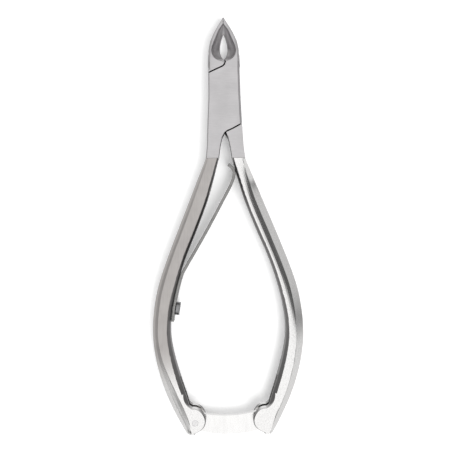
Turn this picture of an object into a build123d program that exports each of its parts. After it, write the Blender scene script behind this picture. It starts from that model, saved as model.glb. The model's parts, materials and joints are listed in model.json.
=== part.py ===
"""Cuticle nipper with a lap joint, a leaf return spring and a swinging handle latch.
Units are mm. The origin is on the pivot axis, on the flat the closed tool lies on.
+Y points to the jaws, +Z is up out of the flat, and the tool is closed and latched."""
import os

from build123d import *

os.makedirs("parts", exist_ok=True)

# ---- driving sizes -------------------------------------------------------
THICK = 8.0              # depth of the joint and of both handles
MID = THICK / 2
LAP_GAP = 0.08           # between the two lapped plates
LINE_GAP = 0.40          # between a plate's edge and the shoulder beside it
HOOK_LAP = 1.24          # width over which the two levers' hooks cross
EDGE_GAP = 0.03          # between the two cutting edges
TIP_Y = 25.7             # cutting tip
JOINT_END_Y = -18.2      # where the ground joint faces stop
CROTCH_Y = -10.35        # where the two handles part
RIVET_R = 1.9
RIVET_HEAD_R = 2.7
RIVET_HEAD_H = 0.8
RIVET_FIT = 0.04
RIVET_COVER = 0.35       # steel left over the rivet's front end
EDGE_BEVEL = 0.60        # bevel along the jaw's side of the joint
LEFT_BEVEL = 0.30        # bevel along the other side of the joint

LATCH_T = 2.0
LATCH_SLOT = 2.4
LATCH_X = 10.6           # latch rivet and catch pin, each side of the centre line
LATCH_Y = -99.5
LATCH_HEEL_R = 2.7
HEEL_SWEEP_R = 4.4       # room for the latch's thumb tab as it swings
LUG_LOW = 0.05           # the lug runs on level with both faces of the handle
LUG_HIGH = THICK - LUG_LOW
LUG_BEVEL = 0.25
PIN_R = 0.9
PIN_FIT = 0.05
PIN_COVER = 1.5          # steel left over the catch pin's front end
SLOT_X = 13.6            # floor of the latch slots

LEAF_T = 0.85
LEAF_W = 5.0
SCREW_Y = -64.3
SCREW_HEAD_R = 2.05
SCREW_HEAD_T = 1.25
SCREW_HEAD_GAP = 0.30    # between the leaf and the underside of the head
SCREW_SLOT_W = 0.7
SCREW_SLOT_DEPTH = 0.45
SCREW_R = 1.1
SCREW_DEPTH = 3.2        # thread in the handle
SCREW_HOLE_DEPTH = 4.0
SCREW_WALL_X = -17.27    # where the screw's axis meets the inner wall
SCREW_LEAN = -0.168      # the axis is square to the wall there

# ---- the plan of one lever, handle on the left and blade on the right ----
HALF_LINE = LINE_GAP / 2
# half widths of the handle at each station: y, outer, inner wall, bevel on the flat side,
# bevel on the crowned side, inner bevel, drop of both faces, crown
HANDLE = [
    (-14.5, 5.65, 1.50, 0.45, 0.45, 0.30, 0.03, 0.02),
    (-17.6, 5.95, 2.00, 0.65, 0.75, 0.35, 0.10, 0.10),
    (-20.5, 7.05, 2.75, 0.95, 1.30, 0.45, 0.25, 0.30),
    (-25.0, 8.90, 3.95, 1.15, 1.80, 0.60, 0.25, 0.48),
    (-31.0, 11.30, 5.75, 1.35, 2.30, 0.65, 0.20, 0.66),
    (-40.0, 14.95, 9.20, 1.55, 2.30, 0.70, 0.15, 0.74),
    (-49.5, 18.70, 13.15, 1.60, 2.30, 0.70, 0.10, 0.74),
    (-58.0, 21.55, 15.85, 1.65, 2.30, 0.70, 0.06, 0.62),
    (-66.0, 23.00, 17.55, 1.65, 2.30, 0.75, 0.05, 0.42),
    (-73.0, 23.30, 17.90, 1.65, 2.25, 0.85, 0.05, 0.22),
    (-80.0, 22.50, 16.70, 2.10, 2.20, 1.00, 0.05, 0.10),
    (-87.0, 20.75, 14.70, 3.10, 2.15, 1.10, 0.05, 0.0),
    (-93.0, 18.50, 12.75, 3.60, 2.10, 1.10, 0.05, 0.0),
    (-99.0, 15.60, 11.20, 3.10, 2.00, 0.60, 0.05, 0.0),
    (-103.1, 13.40, 10.60, 1.50, 1.00, 0.30, 0.05, 0.0),
]
# outer side of the jaw, from its tip down to the joint line
JAW_SIDE = [(0.10, TIP_Y), (1.95, 22.75), (3.68, 19.17), (4.62, 14.6), (4.82, 7.99 + HALF_LINE)]
WALL_HALF = 2.6          # half height of the flat inner wall, where the leaf seats
RIM_HALF = 1.5           # half height of the flat outer rim
KNEE = 0.67              # share of the flat side's outer bevel that its steeper half climbs
CROWN_POWER = 1.8        # how late the crowned side rolls over


def along(table, y):
    """The values of a table at y, on a smooth curve through its rows."""
    step = -1 if table[0][0] > table[-1][0] else 1
    row = max(n for n in range(len(table) - 1) if (y - table[n][0]) * step >= -1e-9)
    before, start, stop, after = (table[min(max(n, 0), len(table) - 1)] for n in range(row - 1, row + 3))
    span = stop[0] - start[0]
    t = (y - start[0]) / span
    values = []
    for a, b, c, d in zip(before[1:], start[1:], stop[1:], after[1:]):
        lead = (c - a) / (stop[0] - before[0]) * span
        trail = (d - b) / (after[0] - start[0]) * span
        rise = (2 * t - 3) * t * t
        values.append(b * (1 + rise) - c * rise + lead * t * (1 - t) ** 2 - trail * t * t * (1 - t))
    return values


def stations(table, count):
    """Even steps from the table's first y to its last."""
    first, last = table[0][0], table[-1][0]
    return [first + (last - first) * n / count for n in range(count + 1)]


def handle_section(outer, inner, flat_bevel, crown_bevel, inner_bevel, drop, crown):
    """Closed section of the left handle: a flat side on top and a crowned side below.
    The crowned side is level at its inner lip and rolls over towards its outer crease."""
    top = THICK - drop
    rim = MID + RIM_HALF
    crease = -outer + crown_bevel
    lip = -inner - inner_bevel
    roll = max(crown, 0.0)
    crowned = [(lip + (crease - lip) * n / 5, drop + roll * (n / 5) ** CROWN_POWER) for n in range(6)]
    Polyline(
        (-outer, MID - RIM_HALF), (-outer, rim), (-outer + flat_bevel / 2, rim + KNEE * (top - rim)),
        (-outer + flat_bevel, top), (lip, top), (-inner, MID + WALL_HALF), (-inner, MID - WALL_HALF), *crowned,
        close=True,
    )


# ---- one forging, used for both levers ------------------------------------
# what is ground off above the jaws: y, half width, height of the face, bevel
JAW_FACE = [
    (8.9, 4.84, 8.02, 0.55),
    (11.5, 4.78, 7.88, 0.55),
    (14.5, 4.63, 7.45, 0.55),
    (17.0, 4.24, 6.92, 0.52),
    (19.2, 3.68, 6.38, 0.50),
    (21.2, 2.84, 5.82, 0.46),
    (23.0, 1.82, 5.32, 0.42),
    (24.6, 0.90, 5.00, 0.34),
    (26.2, 0.32, 4.78, 0.22),
]
with BuildPart() as jaw_relief:
    for y in stations(JAW_FACE, 20):
        half, face_z, bevel = along(JAW_FACE, y)
        with BuildSketch(Plane(origin=(0, y, 0), x_dir=(-1, 0, 0), z_dir=(0, 1, 0))):
            Polygon(
                (-8, 10), (-8, face_z - 1.35 * bevel), (-half, face_z - 1.1 * bevel), (bevel - half, face_z),
                (half - bevel, face_z), (half, face_z - 1.1 * bevel), (8, face_z - 1.35 * bevel), (8, 10),
                align=None)
    loft(ruled=True)

with BuildPart() as lug:
    with BuildSketch(Plane.XY.offset(LUG_LOW)):
        with BuildLine():
            waist = Spline((-13.9, -90.5), (-13.35, -93.2), (-11.4, -95.05))
            brow = Spline(waist @ 1, (-9.5, -95.45), (-7.9, -97.1), (-7.35, -99.1))
            chin = Spline(brow @ 1, (-8.1, -101.1), (-9.8, -102.4), (-11.4, -103.0))
            Polyline(chin @ 1, (-12.15, -99.0), (-13.95, -94.0), (-15.1, -91.0), waist @ 0)
        make_face()
    extrude(amount=LUG_HIGH - LUG_LOW)
    rims = lug.edges().group_by(Axis.Z)[0] + lug.edges().group_by(Axis.Z)[-1]
    chamfer(rims.filter_by(GeomType.BSPLINE), LUG_BEVEL)

with BuildPart() as forging:
    # front half: jaw, cover plate and root of the handle
    with BuildSketch(Plane.XY.offset(MID + LAP_GAP / 2)):
        with BuildLine():
            side = Spline(*JAW_SIDE)
            edge = Polyline(side @ 1, (5.0, 0.0), (5.30, HALF_LINE - 7.65))
            low_line = Polyline(edge @ 1, (2.49, HALF_LINE - 9.14), (0.66, HALF_LINE - 9.95), (-0.10, CROTCH_Y))
            crotch = Polyline(low_line @ 1, (-0.95, -11.90), (-1.50, -14.50), (-2.05, JOINT_END_Y))
            root = Polyline(crotch @ 1, (-6.05, JOINT_END_Y), (-5.65, -14.50), (-5.30, -6.0), (-4.95, 0.0))
            flank = Polyline(
                root @ 1, (-4.85, 7.99 - HALF_LINE), (-2.45, 9.09 - HALF_LINE), (-0.35, 10.01 - HALF_LINE))
            hook = Polyline(
                flank @ 1, (0.16 + HALF_LINE, 10.45), (0.52 + HALF_LINE, 11.60), (EDGE_GAP / 2, 12.50))
            Line(hook @ 1, (EDGE_GAP / 2, TIP_Y))
            Line((EDGE_GAP / 2, TIP_Y), side @ 0)
        make_face()
    front_half = extrude(amount=MID - LAP_GAP / 2)
    chamfer([e for e in front_half.edges().group_by(Axis.Z)[-1] if e.center().X > 4.3], EDGE_BEVEL)
    chamfer([e for e in front_half.edges().group_by(Axis.Z)[-1] if e.center().X < -4.7], LEFT_BEVEL)
    # back half of the jaw, above the other lever's plate
    with BuildSketch():
        with BuildLine():
            side_b = Spline(*JAW_SIDE)
            under = Polyline(
                side_b @ 1, (2.45, 9.09 + HALF_LINE), (0.35, 10.01 + HALF_LINE), (-0.02, 10.49 + HALF_LINE))
            lap = Polyline(under @ 1, (HALF_LINE - 0.52, 11.60), (EDGE_GAP / 2, 12.50), (EDGE_GAP / 2, TIP_Y))
            Line(lap @ 1, side_b @ 0)
        make_face()
    extrude(amount=MID + LAP_GAP / 2)
    # back half of the handle's root, below the other lever's plate
    with BuildSketch():
        with BuildLine():
            shoulder = Polyline(
                (-5.30, -7.65 - HALF_LINE), (-2.49, -9.14 - HALF_LINE), (-0.66, -9.95 - HALF_LINE),
                (-0.30, CROTCH_Y))
            inner = Polyline(shoulder @ 1, (-0.95, -11.90), (-1.50, -14.50), (-2.05, JOINT_END_Y))
            Polyline(inner @ 1, (-6.05, JOINT_END_Y), (-5.65, -14.50), shoulder @ 0)
        make_face()
    extrude(amount=MID + LAP_GAP / 2)
    # the two halves keep the lap gap where the other lever's hook passes between them
    with Locations((0, 11.3, MID)):
        Box(HOOK_LAP, 2.6, LAP_GAP, mode=Mode.SUBTRACT)
    # the handle, a loft through its sections
    for y in stations(HANDLE, 52):
        with BuildSketch(Plane(origin=(0, y, 0), x_dir=(1, 0, 0), z_dir=(0, -1, 0))):
            with BuildLine():
                handle_section(*along(HANDLE, y))
            make_face()
    loft(ruled=True)
    add(lug.part)
    # both faces of the jaw fall away towards the tip, with a bevel round the outer edge
    add(jaw_relief.part, mode=Mode.SUBTRACT)
    mirror(jaw_relief.part, about=Plane.XY.offset(MID), mode=Mode.SUBTRACT)


# ---- the hollow ground in the front of the closed jaws --------------------
# half width and depth of the hollow at each station along the jaws
HOLLOW = [
    (11.35, 0.35, 0.25),
    (12.10, 2.20, 1.70),
    (13.20, 3.30, 2.90),
    (15.00, 3.75, 3.60),
    (17.50, 3.12, 3.45),
    (20.00, 2.10, 2.75),
    (22.40, 0.95, 1.75),
    (24.60, 0.12, 0.75),
]
with BuildPart() as hollow:
    for y, half, depth in HOLLOW:
        face_z = THICK - 0.030 * max(0.0, y - 9.6) ** 1.72
        with BuildSketch(Plane(origin=(0, y, face_z), x_dir=(1, 0, 0), z_dir=(0, -1, 0))):
            Ellipse(half, depth)
    loft()
    # the relief between the blades, seen right through
    with BuildSketch():
        with BuildLine():
            near = Spline((0, 12.40), (1.05, 14.6), (0.95, 18.0), (0, 20.9))
            Spline(near @ 1, (-0.95, 18.0), (-1.05, 14.6), (0, 12.40))
        make_face()
    extrude(amount=THICK)

# rivet bore: countersunk in the back, and blind under the front plate's ground face
with BuildPart() as bores:
    Cylinder(RIVET_R + RIVET_FIT, THICK - RIVET_COVER, align=(Align.CENTER, Align.CENTER, Align.MIN))
    Cone(RIVET_HEAD_R + RIVET_FIT, RIVET_R + RIVET_FIT, RIVET_HEAD_H,
         align=(Align.CENTER, Align.CENTER, Align.MIN))

# slot for the latch and the cross hole in the end of one handle
with BuildPart() as end_cuts:
    with BuildSketch(Plane.XY.offset(MID - LATCH_SLOT / 2)):
        with BuildLine():
            floor_line = Polyline((-12.0, -84.0), (-15.9, -86.2), (-14.3, -93.5), (-SLOT_X, -97.5))
            Polyline(floor_line @ 1, (-SLOT_X, -106.0), (-4.0, -106.0), (-4.0, -84.0), (-12.0, -84.0))
        make_face()
    extrude(amount=LATCH_SLOT)

# ---- the pieces -----------------------------------------------------------
screw_seat = Plane(origin=(SCREW_WALL_X, SCREW_Y, MID), x_dir=(0, 0, 1), z_dir=(1, SCREW_LEAN, 0))

with BuildPart() as rivet_hole:
    with Locations((-LATCH_X, LATCH_Y, 0)):
        Cylinder(PIN_R + PIN_FIT, THICK, align=(Align.CENTER, Align.CENTER, Align.MIN))

# the catch pin's hole is blind, and opens at the back
with BuildPart() as pin_hole:
    with Locations((LATCH_X, LATCH_Y, 0)):
        Cylinder(PIN_R + PIN_FIT, THICK - PIN_COVER, align=(Align.CENTER, Align.CENTER, Align.MIN))

with BuildPart() as heel_opening:
    with BuildSketch(Plane.XY.offset(MID - LATCH_SLOT / 2)):
        with BuildLine():
            Polyline((-12.0, -97.2), (-SLOT_X, -97.2), (-17.0, -98.4), (-17.0, -106.0), (-12.0, -106.0),
                     (-12.0, -97.2))
        make_face()
        with Locations((-LATCH_X, LATCH_Y)):
            Circle(HEEL_SWEEP_R)
    extrude(amount=LATCH_SLOT)

with BuildPart() as front_lever:
    add(forging.part)
    add(heel_opening.part, mode=Mode.SUBTRACT)
    add(rivet_hole.part, mode=Mode.SUBTRACT)
    add(hollow.part, mode=Mode.SUBTRACT)
    add(bores.part, mode=Mode.SUBTRACT)
    add(end_cuts.part, mode=Mode.SUBTRACT)
    # tapped hole for the spring screw, square to the inner wall
    with Locations(screw_seat):
        Cylinder(SCREW_R + 0.03, 2 * SCREW_HOLE_DEPTH, mode=Mode.SUBTRACT)

# the other lever is the same forging turned over about the long axis
turned = Rotation(0, 180, 0)
lift = Pos(0, 0, THICK)
with BuildPart() as rear_lever:
    add(lift * turned * forging.part)
    add(hollow.part, mode=Mode.SUBTRACT)
    add(bores.part, mode=Mode.SUBTRACT)
    add(lift * turned * end_cuts.part, mode=Mode.SUBTRACT)
    add(pin_hole.part, mode=Mode.SUBTRACT)

with BuildPart() as joint_rivet:
    Cylinder(RIVET_R, THICK - RIVET_COVER - 0.05, align=(Align.CENTER, Align.CENTER, Align.MIN))
    Cone(RIVET_HEAD_R, RIVET_R, RIVET_HEAD_H, align=(Align.CENTER, Align.CENTER, Align.MIN))

with BuildPart() as latch_rivet:
    with Locations((-LATCH_X, LATCH_Y, LUG_LOW)):
        Cylinder(PIN_R, LUG_HIGH - LUG_LOW, align=(Align.CENTER, Align.CENTER, Align.MIN))

with BuildPart() as catch_pin:
    with Locations((LATCH_X, LATCH_Y, THICK - LUG_HIGH)):
        Cylinder(PIN_R, LUG_HIGH - PIN_COVER - 0.05, align=(Align.CENTER, Align.CENTER, Align.MIN))

with BuildPart() as latch_bar:
    with BuildSketch(Plane.XY.offset(MID - LATCH_T / 2)):
        with BuildLine():
            top_edge = ThreePointArc((-LATCH_X, LATCH_Y + LATCH_HEEL_R), (-0.6, -98.0), (9.2, -96.6))
            notch = Polyline(top_edge @ 1, (9.35, -99.4))
            seat = ThreePointArc(notch @ 1, (10.45, -100.75), (11.65, -100.0))
            nose = Polyline(seat @ 1, (12.85, -98.6), (13.25, -99.2), (13.1, -100.4))
            toe = Spline(nose @ 1, (12.2, -101.7), (9.6, -102.35), tangents=((-0.3, -1), (-1, -0.25)))
            low_edge = ThreePointArc(toe @ 1, (-0.6, -103.75), (-LATCH_X, LATCH_Y - LATCH_HEEL_R))
            under = Line(low_edge @ 1, (-LATCH_X - 1.6, LATCH_Y - LATCH_HEEL_R + 0.1))
            tab = Spline(under @ 1, (-14.35, -101.1), (-14.75, -100.0), (-13.2, -99.0))
            ThreePointArc(tab @ 1, (-12.6, -97.7), top_edge @ 0)
        make_face()
        with Locations((-LATCH_X, LATCH_Y)):
            Circle(PIN_R + PIN_FIT, mode=Mode.SUBTRACT)
    extrude(amount=LATCH_T)

# the leaf spring is one strip in two nodes: its clamped foot and its free blade
with BuildPart() as spring_foot:
    with BuildSketch(Plane.XY.offset(MID - LEAF_W / 2)):
        with BuildLine():
            Spline((-14.03, -53.85), (-15.28, -58.0), (-16.66, -64.3), (-17.18, -68.4))
        trace(line_width=LEAF_T)
    extrude(amount=LEAF_W)
    with Locations(screw_seat):
        Cylinder(SCREW_R + 0.06, 8.0, mode=Mode.SUBTRACT)

with BuildPart() as spring_blade:
    with BuildSketch(Plane.XY.offset(MID - LEAF_W / 2)):
        with BuildLine():
            Spline((-13.87, -53.55), (-9.75, -46.6), (-5.2, -38.75), (-0.95, -31.0), (1.55, -26.4),
                   (2.68, -23.0), (2.05, -21.1), (0.85, -20.05))
        trace(line_width=LEAF_T)
    extrude(amount=LEAF_W)

with BuildPart() as spring_screw:
    with Locations(screw_seat):
        with Locations((0, 0, LEAF_T + SCREW_HEAD_GAP)):
            Cylinder(SCREW_HEAD_R, SCREW_HEAD_T, align=(Align.CENTER, Align.CENTER, Align.MIN))
        with Locations((0, 0, -SCREW_DEPTH)):
            Cylinder(SCREW_R, SCREW_DEPTH + LEAF_T + SCREW_HEAD_GAP + 0.1,
                     align=(Align.CENTER, Align.CENTER, Align.MIN))
        with Locations((0, 0, LEAF_T + SCREW_HEAD_GAP + SCREW_HEAD_T)):
            Box(SCREW_SLOT_W, 3 * SCREW_HEAD_R, 2 * SCREW_SLOT_DEPTH, mode=Mode.SUBTRACT)
    fillet(spring_screw.edges().filter_by(GeomType.CIRCLE).sort_by(Axis.X)[-2:], 0.2)

front_lever.part.label = "front_lever"
export_step(front_lever.part, "parts/front_lever.step")
rear_lever.part.label = "rear_lever"
export_step(rear_lever.part, "parts/rear_lever.step")
joint_rivet.part.label = "joint_rivet"
export_step(joint_rivet.part, "parts/joint_rivet.step")
latch_bar.part.label = "latch_bar"
export_step(latch_bar.part, "parts/latch_bar.step")
latch_rivet.part.label = "latch_rivet"
export_step(latch_rivet.part, "parts/latch_rivet.step")
catch_pin.part.label = "catch_pin"
export_step(catch_pin.part, "parts/catch_pin.step")
spring_blade.part.label = "spring_blade"
export_step(spring_blade.part, "parts/spring_blade.step")
spring_foot.part.label = "spring_foot"
export_step(spring_foot.part, "parts/spring_foot.step")
spring_screw.part.label = "spring_screw"
export_step(spring_screw.part, "parts/spring_screw.step")
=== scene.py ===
import json
from math import radians

import bpy
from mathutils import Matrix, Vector


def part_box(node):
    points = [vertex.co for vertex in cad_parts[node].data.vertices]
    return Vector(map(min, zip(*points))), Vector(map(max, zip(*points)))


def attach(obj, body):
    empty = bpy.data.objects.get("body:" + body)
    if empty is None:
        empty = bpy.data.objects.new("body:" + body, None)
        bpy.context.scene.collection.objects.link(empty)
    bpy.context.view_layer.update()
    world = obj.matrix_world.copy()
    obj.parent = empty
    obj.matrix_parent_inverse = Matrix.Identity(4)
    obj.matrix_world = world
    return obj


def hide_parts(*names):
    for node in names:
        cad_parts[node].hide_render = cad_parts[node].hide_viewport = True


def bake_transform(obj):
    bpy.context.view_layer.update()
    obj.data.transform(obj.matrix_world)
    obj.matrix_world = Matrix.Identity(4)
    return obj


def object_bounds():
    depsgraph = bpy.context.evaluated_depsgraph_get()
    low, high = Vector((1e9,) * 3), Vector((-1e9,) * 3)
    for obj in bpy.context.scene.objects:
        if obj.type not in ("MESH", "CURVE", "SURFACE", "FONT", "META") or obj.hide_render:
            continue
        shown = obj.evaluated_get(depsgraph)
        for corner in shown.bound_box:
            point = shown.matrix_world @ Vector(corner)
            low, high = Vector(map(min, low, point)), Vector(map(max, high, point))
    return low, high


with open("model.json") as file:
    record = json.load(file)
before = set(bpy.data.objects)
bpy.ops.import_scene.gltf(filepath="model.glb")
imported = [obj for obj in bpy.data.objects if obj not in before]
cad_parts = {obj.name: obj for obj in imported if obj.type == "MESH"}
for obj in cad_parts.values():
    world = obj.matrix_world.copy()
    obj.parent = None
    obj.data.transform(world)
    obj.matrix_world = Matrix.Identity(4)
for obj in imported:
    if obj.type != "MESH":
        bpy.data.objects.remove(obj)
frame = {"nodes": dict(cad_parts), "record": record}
CAD_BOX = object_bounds()
NODES = frame["nodes"]
BODIES = frame["record"]["behaviour"]["bodies"]
MM = 0.001
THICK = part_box("front_lever")[1].z
MID = THICK / 2
JOINT_END_Y = -18.2 * MM      # where the flat ground joint faces stop and the handles start
CROWN_BLEND = 0.8 * MM        # half the depth over which satin turns to mirror on a handle's side
BUFF_START_Y = -76.0 * MM     # from here to BUFF_END_Y the buffing spreads round the whole handle
BUFF_END_Y = -91.0 * MM
WALL_START_Y = -10.2 * MM     # the painted shade on the handles' inner walls starts below the joint's crotch
SEAM_HALF_WIDTH = 4.5 * MM    # the part of the joint whose seams hold oil
SEAM_HALF_LENGTH = 11.4 * MM
OIL_START = 0.10 * MM         # how far below the ground face the oil starts, and where it is full black
OIL_FULL = 0.70 * MM


def linear(hex_colour):
    """An sRGB hex colour as linear RGBA."""
    parts = [int(hex_colour[i:i + 2], 16) / 255 for i in (1, 3, 5)]
    return tuple(c / 12.92 if c <= 0.04045 else ((c + 0.055) / 1.055) ** 2.4 for c in parts) + (1.0,)


def add_node(tree, kind, settings=None, inputs=None):
    """Adds one node, sets its properties, and fills or links its inputs by name or number."""
    node = tree.nodes.new(kind)
    for name, value in (settings or {}).items():
        setattr(node, name, value)
    for name, value in (inputs or {}).items():
        socket = node.inputs[name]
        if isinstance(value, bpy.types.NodeSocket):
            tree.links.new(value, socket)
        else:
            socket.default_value = value
    return node


def new_material(name):
    mat = bpy.data.materials.new(name)
    mat.use_nodes = True
    mat.node_tree.nodes.clear()
    return mat, mat.node_tree


def lever_steel(name, crown_up):
    """Forged stainless steel, finished in three ways. The jaws and the joint are ground flat across their
    width, and so read as a soft grey with fine lines. The handle's flat side is belt-polished along its
    length to a warm satin, and its crowned side is buffed nearly to a mirror, which shows the room as
    bands. Near the ends the buffing goes all round."""
    mat, tree = new_material(name)
    place = add_node(tree, "ShaderNodeTexCoord").outputs["Object"]
    axes = add_node(tree, "ShaderNodeSeparateXYZ", inputs={"Vector": place}).outputs
    handle = add_node(tree, "ShaderNodeMapRange", inputs={
        "Value": axes["Y"], "From Min": JOINT_END_Y + 0.05 * MM, "From Max": JOINT_END_Y - 0.15 * MM})
    handle = handle.outputs["Result"]
    blend = CROWN_BLEND if crown_up else -CROWN_BLEND
    crown = add_node(tree, "ShaderNodeMapRange", inputs={
        "Value": axes["Z"], "From Min": MID - blend, "From Max": MID + blend}).outputs["Result"]
    ends = add_node(tree, "ShaderNodeMapRange", {"interpolation_type": "SMOOTHSTEP"}, {
        "Value": axes["Y"], "From Min": BUFF_START_Y, "From Max": BUFF_END_Y}).outputs["Result"]
    buffed = add_node(tree, "ShaderNodeMath", {"operation": "MAXIMUM"}, {0: crown, 1: ends}).outputs["Value"]
    buffed = add_node(tree, "ShaderNodeMath", {"operation": "MULTIPLY"}, {
        0: buffed, 1: handle}).outputs["Value"]
    # grinding lines about 0.2 mm apart: across the joint and the jaws, along the handles
    across = add_node(tree, "ShaderNodeMapping", inputs={
        "Vector": place, "Scale": (0.25 / MM, 5.0 / MM, 0.25 / MM)}).outputs["Vector"]
    length = add_node(tree, "ShaderNodeMapping", inputs={
        "Vector": place, "Rotation": (0, 0, radians(15.0 if crown_up else -15.0)),
        "Scale": (4.0 / MM, 0.16 / MM, 2.0 / MM)}).outputs["Vector"]
    lines = add_node(tree, "ShaderNodeMix", {"data_type": "VECTOR"}, {
        "Factor": handle, "A": across, "B": length}).outputs[1]
    grain = add_node(tree, "ShaderNodeTexNoise", inputs={
        "Vector": lines, "Scale": 1.0, "Detail": 4.0, "Roughness": 0.65}).outputs["Fac"]
    # cloudy patches a few millimetres wide, from hand pressure on the belt and the buff
    cloud = add_node(tree, "ShaderNodeTexNoise", inputs={
        "Vector": place, "Scale": 1.0 / (6.0 * MM), "Detail": 3.0, "Roughness": 0.6}).outputs["Fac"]
    # fine pits left under the buffing, about 0.35 mm across
    pits = add_node(tree, "ShaderNodeTexNoise", inputs={
        "Vector": place, "Scale": 1.0 / (0.35 * MM), "Detail": 2.0, "Roughness": 0.6}).outputs["Fac"]
    worn = add_node(tree, "ShaderNodeMath", {"operation": "MULTIPLY_ADD"}, {
        0: grain, 1: 0.6, 2: -0.05}).outputs["Value"]
    worn = add_node(tree, "ShaderNodeMath", {"operation": "MULTIPLY_ADD"}, {
        0: cloud, 1: 0.5, 2: worn}).outputs["Value"]
    joint_colour = add_node(tree, "ShaderNodeMix", {"data_type": "RGBA"}, {
        "Factor": worn, "A": linear("#b2b0b1"), "B": linear("#dcdadb")}).outputs[2]
    satin_colour = add_node(tree, "ShaderNodeMix", {"data_type": "RGBA"}, {
        "Factor": worn, "A": linear("#a5a19f"), "B": linear("#cbc7c4")}).outputs[2]
    satin = add_node(tree, "ShaderNodeMix", {"data_type": "RGBA"}, {
        "Factor": handle, "A": joint_colour, "B": satin_colour}).outputs[2]
    mirror = add_node(tree, "ShaderNodeMix", {"data_type": "RGBA"}, {
        "Factor": pits, "A": linear("#dedddc"), "B": linear("#fbfaf9")}).outputs[2]
    colour = add_node(tree, "ShaderNodeMix", {"data_type": "RGBA"}, {
        "Factor": buffed, "A": satin, "B": mirror}).outputs[2]
    # painted shade: the handles' inward-facing walls get a darker grey for the shade between the handles,
    # and a rougher finish
    side = add_node(tree, "ShaderNodeMath", {"operation": "SIGN"}, {0: axes["X"]}).outputs["Value"]
    facing = add_node(tree, "ShaderNodeTexCoord").outputs["Normal"]
    facing = add_node(tree, "ShaderNodeSeparateXYZ", inputs={"Vector": facing}).outputs["X"]
    facing = add_node(tree, "ShaderNodeMath", {"operation": "MULTIPLY"}, {
        0: facing, 1: side}).outputs["Value"]
    facing = add_node(tree, "ShaderNodeMapRange", inputs={
        "Value": facing, "From Min": -0.35, "From Max": -0.65}).outputs["Result"]
    below = add_node(tree, "ShaderNodeMath", {"operation": "LESS_THAN"}, {
        0: axes["Y"], 1: WALL_START_Y}).outputs["Value"]
    inner_walls = add_node(tree, "ShaderNodeMath", {"operation": "MULTIPLY"}, {
        0: facing, 1: below}).outputs["Value"]
    painted_wall_shade_colour = add_node(tree, "ShaderNodeMix", {"data_type": "RGBA"}, {
        "Factor": worn, "A": linear("#706f6f"), "B": linear("#969494")}).outputs[2]
    colour = add_node(tree, "ShaderNodeMix", {"data_type": "RGBA"}, {
        "Factor": inner_walls, "A": colour, "B": painted_wall_shade_colour}).outputs[2]
    # old oil in the seams between the two levers, below the ground face
    width = add_node(tree, "ShaderNodeMath", {"operation": "ABSOLUTE"}, {0: axes["X"]}).outputs["Value"]
    inside = add_node(tree, "ShaderNodeMath", {"operation": "LESS_THAN"}, {
        0: width, 1: SEAM_HALF_WIDTH}).outputs["Value"]
    run = add_node(tree, "ShaderNodeMath", {"operation": "ABSOLUTE"}, {0: axes["Y"]}).outputs["Value"]
    beside = add_node(tree, "ShaderNodeMath", {"operation": "LESS_THAN"}, {
        0: run, 1: SEAM_HALF_LENGTH}).outputs["Value"]
    sunk = add_node(tree, "ShaderNodeMapRange", inputs={
        "Value": axes["Z"], "From Min": THICK - OIL_START, "From Max": THICK - OIL_FULL}).outputs["Result"]
    oily = add_node(tree, "ShaderNodeMath", {"operation": "MULTIPLY"}, {
        0: inside, 1: beside}).outputs["Value"]
    oily = add_node(tree, "ShaderNodeMath", {"operation": "MULTIPLY"}, {0: oily, 1: sunk}).outputs["Value"]
    colour = add_node(tree, "ShaderNodeMix", {"data_type": "RGBA"}, {
        "Factor": oily, "A": colour, "B": linear("#161514")}).outputs[2]
    dull = add_node(tree, "ShaderNodeMapRange", inputs={
        "Value": worn, "From Min": 0.2, "From Max": 0.8, "To Min": 0.40, "To Max": 0.30}).outputs["Result"]
    bright = add_node(tree, "ShaderNodeMapRange", inputs={
        "Value": pits, "From Min": 0.3, "From Max": 0.7, "To Min": 0.20, "To Max": 0.10}).outputs["Result"]
    rough = add_node(tree, "ShaderNodeMix", {"data_type": "FLOAT"}, {
        "Factor": buffed, "A": dull, "B": bright}).outputs[0]
    rough = add_node(tree, "ShaderNodeMix", {"data_type": "FLOAT"}, {
        "Factor": inner_walls, "A": rough, "B": 0.45}).outputs[0]
    depth = add_node(tree, "ShaderNodeMix", {"data_type": "FLOAT"}, {
        "Factor": buffed, "A": 0.0035 * MM, "B": 0.0006 * MM}).outputs[0]
    height = add_node(tree, "ShaderNodeMath", {"operation": "MULTIPLY"}, {
        0: grain, 1: depth}).outputs["Value"]
    raised = add_node(tree, "ShaderNodeBump", inputs={
        "Height": height, "Strength": 1.0, "Distance": 1.0}).outputs["Normal"]
    bsdf = add_node(tree, "ShaderNodeBsdfPrincipled", inputs={
        "Base Color": colour, "Metallic": 1.0, "Roughness": rough, "Normal": raised})
    add_node(tree, "ShaderNodeOutputMaterial", inputs={"Surface": bsdf.outputs["BSDF"]})
    return mat


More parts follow.
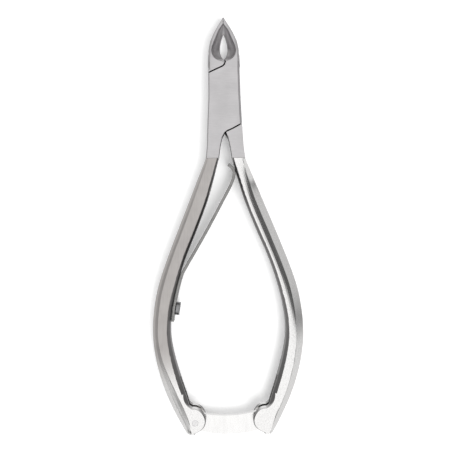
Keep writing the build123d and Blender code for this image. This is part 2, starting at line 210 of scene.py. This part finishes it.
def small_steel(name, colours, rough, grain, bump):
    """Steel of one finish all over. grain is the spacing of its lines along each axis in mm, bump their
    depth in mm, and colours the darkest and the lightest tone."""
    mat, tree = new_material(name)
    place = add_node(tree, "ShaderNodeTexCoord").outputs["Object"]
    drawn = add_node(tree, "ShaderNodeMapping", inputs={
        "Vector": place, "Scale": [1.0 / (step * MM) for step in grain]}).outputs["Vector"]
    lines = add_node(tree, "ShaderNodeTexNoise", inputs={
        "Vector": drawn, "Scale": 1.0, "Detail": 3.0, "Roughness": 0.6}).outputs["Fac"]
    colour = add_node(tree, "ShaderNodeMix", {"data_type": "RGBA"}, {
        "Factor": lines, "A": linear(colours[0]), "B": linear(colours[1])}).outputs[2]
    dull = add_node(tree, "ShaderNodeMapRange", inputs={
        "Value": lines, "From Min": 0.3, "From Max": 0.7,
        "To Min": rough * 1.3, "To Max": rough * 0.7}).outputs["Result"]
    raised = add_node(tree, "ShaderNodeBump", inputs={
        "Height": lines, "Strength": 1.0, "Distance": bump * MM}).outputs["Normal"]
    bsdf = add_node(tree, "ShaderNodeBsdfPrincipled", inputs={
        "Base Color": colour, "Metallic": 1.0, "Roughness": dull, "Normal": raised})
    add_node(tree, "ShaderNodeOutputMaterial", inputs={"Surface": bsdf.outputs["BSDF"]})
    return mat


flat_side_up = lever_steel("forged_stainless_flat_side_up", crown_up=False)
crown_side_up = lever_steel("forged_stainless_crown_side_up", crown_up=True)
# Polished flat bar: near mirror, with faint upright streaks from the buffing wheel.
latch_steel = small_steel("buffed_flat_bar", ("#ebeae9", "#fdfcfb"), 0.16, (2.2, 9.0, 9.0), 0.0008)
# Cold-rolled spring strip: bright rolled faces with lines along its width, a little darker than the levers.
strip_steel = small_steel("cold_rolled_spring_strip", ("#7a7978", "#a8a7a5"), 0.30, (3.0, 0.3, 0.9), 0.0012)
# Turned and oil-blacked screw: dark steel whose turning marks catch a small bright spot.
screw_steel = small_steel("oil_blacked_turned_steel", ("#5c5c5d", "#b4b4b5"), 0.22, (0.5, 1.2, 2.0), 0.0012)
# Drawn rivet wire: plain bright steel, cut and riveted, so its ends are a little rough.
wire_steel = small_steel("riveted_drawn_wire", ("#d6d5d5", "#f2f1f1"), 0.24, (0.6, 0.6, 3.0), 0.0010)


EDGE_BREAK = 0.10 * MM
WELD = 0.002 * MM
SHARP_ANGLE = radians(24)     # edges sharper than this are broken by a bevel
SLOT_START_Y = -88.0 * MM     # past here the latch slots cut the handles
TIP_Y = -101.0 * MM           # past here nothing is bevelled
CREASE_X = 16.3 * MM          # the outer crease at the slots' start, and how fast it then runs inwards
CREASE_SLOPE = 0.377
FACE_HALF_DEPTH = 3.5 * MM    # edges further than this from the middle plane are on an outer face


def clear_of_slots(ends):
    """Whether an edge is away from the latch slots. Past their start only the outer creases are."""
    low = min(end.y for end in ends)
    crease = CREASE_X + CREASE_SLOPE * (low - SLOT_START_Y)
    outer = min(abs(end.x) for end in ends) > crease
    face = min(abs(end.z - MID) for end in ends) > FACE_HALF_DEPTH
    return low > SLOT_START_Y or (low > TIP_Y and outer and face)


def finished_copy(name, mat, edge_break=EDGE_BREAK):
    """A copy of a CAD node with its loose triangles merged, its curved faces shaded smooth and its edges
    broken by a small bevel, as a belt leaves them."""
    bpy.ops.object.select_all(action="DESELECT")
    copy = NODES[name].copy()
    copy.data = NODES[name].data.copy()
    copy.name = name + "_finished"
    bpy.context.scene.collection.objects.link(copy)
    copy.parent = None
    bpy.context.view_layer.objects.active = copy
    copy.select_set(True)
    bpy.ops.mesh.customdata_custom_splitnormals_clear()
    bpy.ops.object.mode_set(mode="EDIT")
    bpy.ops.mesh.select_all(action="SELECT")
    bpy.ops.mesh.remove_doubles(threshold=WELD)
    bpy.ops.mesh.mark_sharp(clear=True)
    bpy.ops.mesh.dissolve_limited(angle_limit=radians(0.01))
    bpy.ops.mesh.select_all(action="DESELECT")
    bpy.ops.mesh.select_mode(type="EDGE")
    bpy.ops.mesh.edges_select_sharp(sharpness=SHARP_ANGLE)
    bpy.ops.object.mode_set(mode="OBJECT")
    for edge in copy.data.edges:
        ends = [copy.data.vertices[index].co for index in edge.vertices]
        edge.select = edge.select and clear_of_slots(ends)
    bpy.ops.object.mode_set(mode="EDIT")
    bpy.ops.mesh.bevel(offset=edge_break, segments=2, clamp_overlap=False)
    bpy.ops.object.mode_set(mode="OBJECT")
    # where a bevel runs out along a shallow edge it can slide past the piece, so it is held to its box
    low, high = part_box(name)
    for vertex in copy.data.vertices:
        vertex.co = [min(max(vertex.co[axis], low[axis]), high[axis]) for axis in range(3)]
    bpy.ops.object.shade_smooth_by_angle(angle=radians(20))
    bpy.ops.object.modifier_add(type="WEIGHTED_NORMAL")
    copy.modifiers[-1].keep_sharp = True
    bpy.ops.object.modifier_apply(modifier=copy.modifiers[-1].name)
    copy.data.materials.clear()
    copy.data.materials.append(mat)
    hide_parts(name)
    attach(copy, next(body for body, names in BODIES.items() if name in names))


finished_copy("front_lever", flat_side_up)
finished_copy("rear_lever", crown_side_up)
finished_copy("joint_rivet", crown_side_up)
finished_copy("latch_bar", latch_steel, 2 * EDGE_BREAK)
finished_copy("latch_rivet", wire_steel)
finished_copy("catch_pin", wire_steel)
finished_copy("spring_screw", screw_steel)

# ---- the leaf spring: one strip from its clamped foot to its curled free end ----
LEAF_THICK = 0.85 * MM
LEAF_EDGE = 0.12 * MM         # the rounding of the strip's slit edges
LEAF_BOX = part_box("spring_blade")
LEAF_ROUTE = [
    (-17.18, -68.40), (-16.66, -64.30), (-15.98, -61.00), (-15.28, -58.00), (-14.66, -55.80),
    (-13.95, -53.70), (-12.05, -50.40), (-9.75, -46.60), (-7.45, -42.70), (-5.20, -38.75),
    (-3.05, -34.90), (-0.95, -31.00), (0.40, -28.60), (1.55, -26.40), (2.32, -24.60),
    (2.68, -23.00), (2.52, -21.90), (2.05, -21.10), (1.50, -20.52), (0.85, -20.05),
]
bpy.ops.object.select_all(action="DESELECT")
bpy.ops.mesh.primitive_plane_add(size=1.0)
leaf = bpy.context.object
leaf.name = "leaf_spring"
bpy.ops.object.mode_set(mode="EDIT")
bpy.ops.mesh.delete(type="ONLY_FACE")
bpy.ops.object.mode_set(mode="OBJECT")
first, second = leaf.data.edges[0].vertices
for index, height in ((first, LEAF_BOX[0].z), (second, LEAF_BOX[1].z)):
    leaf.data.vertices[index].co = (LEAF_ROUTE[0][0] * MM, LEAF_ROUTE[0][1] * MM, height)
for vertex in leaf.data.vertices:
    vertex.select = vertex.index not in (first, second)
for edge in leaf.data.edges:
    edge.select = False
bpy.ops.object.mode_set(mode="EDIT")
bpy.ops.mesh.select_mode(type="VERT")
bpy.ops.mesh.delete(type="VERT")
bpy.ops.mesh.select_all(action="SELECT")
for (x0, y0), (x1, y1) in zip(LEAF_ROUTE, LEAF_ROUTE[1:]):
    step = ((x1 - x0) * MM, (y1 - y0) * MM, 0)
    bpy.ops.mesh.extrude_region_move(TRANSFORM_OT_translate={"value": step})
bpy.ops.object.mode_set(mode="OBJECT")
bpy.ops.object.modifier_add(type="SOLIDIFY")
leaf.modifiers[-1].thickness = LEAF_THICK
leaf.modifiers[-1].offset = 0.0
leaf.modifiers[-1].use_even_offset = True
bpy.ops.object.modifier_apply(modifier=leaf.modifiers[-1].name)
bpy.ops.object.mode_set(mode="EDIT")
bpy.ops.mesh.select_all(action="SELECT")
bpy.ops.mesh.normals_make_consistent(inside=False)
bpy.ops.object.mode_set(mode="OBJECT")
bpy.ops.object.modifier_add(type="BEVEL")
leaf.modifiers[-1].width = LEAF_EDGE
leaf.modifiers[-1].segments = 2
leaf.modifiers[-1].angle_limit = radians(60)
bpy.ops.object.modifier_apply(modifier=leaf.modifiers[-1].name)
bpy.ops.object.shade_smooth_by_angle(angle=radians(35))
leaf.data.materials.append(strip_steel)
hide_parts("spring_foot", "spring_blade")
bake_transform(leaf)

# ---- the table, the camera and the light ----------------------------------
bpy.ops.object.select_all(action="DESELECT")
AIM = (0, -0.04, 0)
FLOOR_DROP = 0.1 * MM
bpy.ops.mesh.primitive_plane_add(size=3.0, location=(AIM[0], AIM[1], CAD_BOX[0].z - FLOOR_DROP))
floor = bpy.context.object
floor.name = "table_top"
# White card, lit from behind a little: it stays clean white round the tool and shows only soft shadows.
paper, tree = new_material("white_card")
bsdf = add_node(tree, "ShaderNodeBsdfPrincipled", inputs={
    "Base Color": linear("#f4f4f4"), "Roughness": 0.8,
    "Emission Color": linear("#ffffff"), "Emission Strength": 0.25})
add_node(tree, "ShaderNodeOutputMaterial", inputs={"Surface": bsdf.outputs["BSDF"]})
floor.data.materials.append(paper)
floor.visible_glossy = False  # the metal reflects the tent's own tone below the horizon instead

CAMERA_RISE = 235.0 * MM      # above the tool's middle plane
VIEW_WIDTH = 141.0 * MM       # across the frame, at that plane
CAMERA_X, CAMERA_Y = -0.145 * MM, -39.13 * MM
bpy.ops.object.camera_add(
    location=(CAMERA_X, CAMERA_Y, 4.0 * MM + CAMERA_RISE), rotation=(0, 0, radians(-0.93)))
camera = bpy.context.object
camera.data.sensor_width = 36
camera.data.lens = 36 * CAMERA_RISE / VIEW_WIDTH
camera.data.clip_start = 0.01
bpy.context.scene.camera = camera

room = bpy.data.worlds.new("studio_tent")
bpy.context.scene.world = room
room.use_nodes = True
sky = room.node_tree
sky.nodes.clear()
# A white tent with a bright roof. A dark flag hangs high on each of its left and right walls, which puts
# the dark bands in the polished steel. Below the horizon it has the tone of the table in shade.
way = add_node(sky, "ShaderNodeTexCoord").outputs["Generated"]
axes = add_node(sky, "ShaderNodeSeparateXYZ", inputs={"Vector": way}).outputs
sideways = add_node(sky, "ShaderNodeMath", {"operation": "ABSOLUTE"}, {0: axes["X"]}).outputs["Value"]
lengthways = add_node(sky, "ShaderNodeMath", {"operation": "ABSOLUTE"}, {0: axes["Y"]}).outputs["Value"]
side = add_node(sky, "ShaderNodeMath", {"operation": "SUBTRACT"}, {
    0: sideways, 1: lengthways}).outputs["Value"]
side = add_node(sky, "ShaderNodeMapRange", {"interpolation_type": "SMOOTHSTEP"}, {
    "Value": side, "From Min": -0.15, "From Max": 0.20}).outputs["Result"]
height = add_node(sky, "ShaderNodeMapRange", inputs={"Value": axes["Z"], "From Min": -1.0}).outputs["Result"]
flagged = add_node(sky, "ShaderNodeValToRGB", inputs={"Fac": height})
plain = add_node(sky, "ShaderNodeValToRGB", inputs={"Fac": height})
# greys from straight down (0), through the horizon (0.5), to straight up (1)
SIDE_WALL = ((0.0, 0.56), (0.44, 0.52), (0.5, 0.14), (0.56, 0.40), (0.71, 0.46), (0.76, 0.07), (0.915, 0.07),
             (0.96, 0.66), (1.0, 0.74))
END_WALL = ((0.0, 0.56), (0.44, 0.52), (0.5, 0.20), (0.575, 0.40), (0.75, 0.55), (1.0, 0.74))
for wall, greys in ((flagged, SIDE_WALL), (plain, END_WALL)):
    stops = wall.color_ramp.elements
    for place, grey in greys:
        stop = stops[0] if place == 0.0 else stops[-1] if place == 1.0 else stops.new(place)
        stop.color = (grey, grey, grey, 1.0)
tent = add_node(sky, "ShaderNodeMix", {"data_type": "RGBA"}, {
    "Factor": side, "A": plain.outputs["Color"], "B": flagged.outputs["Color"]}).outputs[2]
back = add_node(sky, "ShaderNodeBackground", inputs={"Color": tent, "Strength": 1.5})
add_node(sky, "ShaderNodeOutputWorld", inputs={"Surface": back.outputs["Background"]})


# one large softbox over the front right, for the soft shadows on the card; the metal doesn't mirror it
LAMP_PLACE = (0.24, -0.34, 0.76)
LAMP_SIDE = 0.42
bpy.ops.object.light_add(type="AREA", location=LAMP_PLACE)
lamp = bpy.context.object
lamp.name = "front_right_softbox"
lamp.data.shape = "RECTANGLE"
lamp.data.size = LAMP_SIDE
lamp.data.size_y = LAMP_SIDE
lamp.data.energy = 4.5
lamp.visible_glossy = False
lamp.rotation_euler = (Vector(AIM) - Vector(LAMP_PLACE)).to_track_quat("-Z", "Y").to_euler()
bpy.context.scene.view_settings.view_transform = "Standard"
